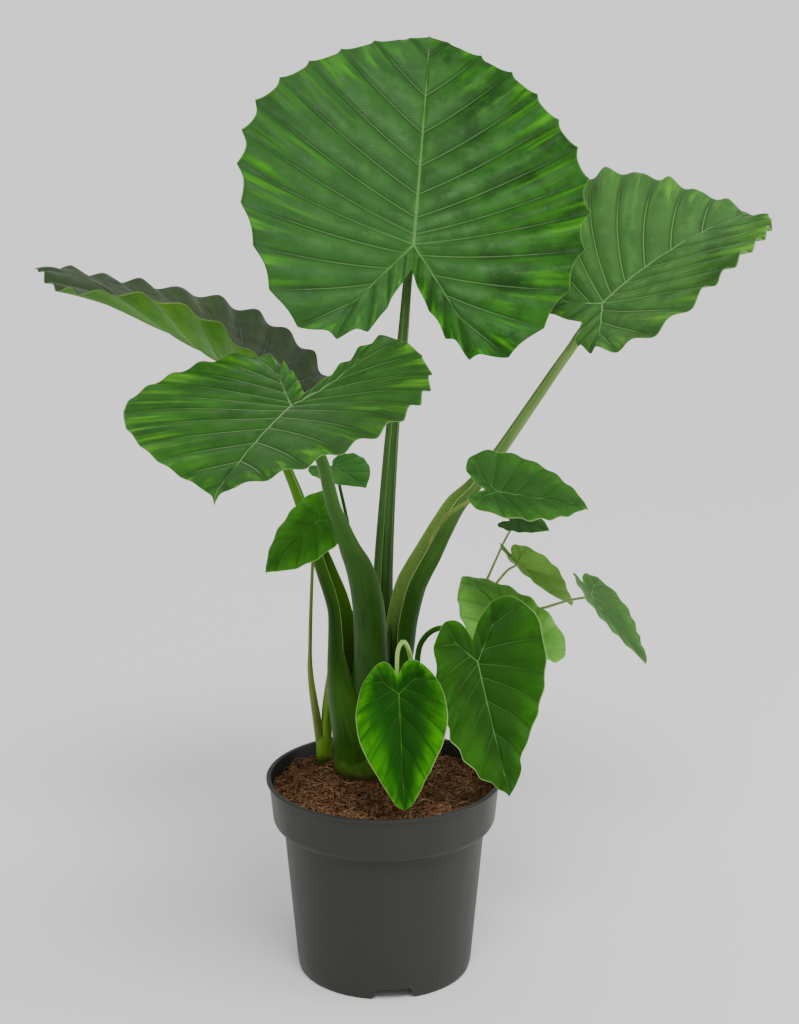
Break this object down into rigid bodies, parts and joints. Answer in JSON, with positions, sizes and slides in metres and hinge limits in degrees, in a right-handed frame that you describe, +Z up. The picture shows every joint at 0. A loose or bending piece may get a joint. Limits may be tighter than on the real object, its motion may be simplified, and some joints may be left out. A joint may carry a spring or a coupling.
{
  "type": "potted california alocasia",
  "caption": "Upright elephant ear plant with broad wavy-edged heart-shaped leaves on sheathed stalks, standing in a coir bed in a plain round plastic nursery pot.",
  "frame": {"origin": "centre of the pot's standing face, on the plane that the pot stands on", "axes": "+Z up along the pot's axis, -Y towards the viewer of the picture, +X to the viewer's right"},
  "size_m": [0.8452, 0.6691, 1.049],
  "materials": {
    "dark_plastic": "matte moulded dark grey polypropylene",
    "coir": "loose reddish brown coir fibre and chips",
    "stalk_green": "smooth waxy dark green",
    "leaf_green": "satin mid green, ribbed, yellow-green between the veins",
    "young_green": "satin fresh green"
  },
  "bodies": {
    "root": {"pot": "dark_plastic", "soil": "coir", "stems": "stalk_green", "offset_right_stems": "stalk_green", "offset_left_stem": "stalk_green", "leaf_top": "leaf_green", "leaf_right": "leaf_green", "leaf_front": "leaf_green", "leaf_left": "leaf_green", "leaflet_front": "young_green", "leaflet_front_right": "young_green", "leaflet_behind": "young_green", "leaflet_right_high": "young_green", "leaflet_hidden": "young_green", "leaflet_pale": "young_green", "leaflet_far_right": "young_green", "leaflet_left": "young_green", "leaflet_back": "young_green"}
  },
  "joints": []
}
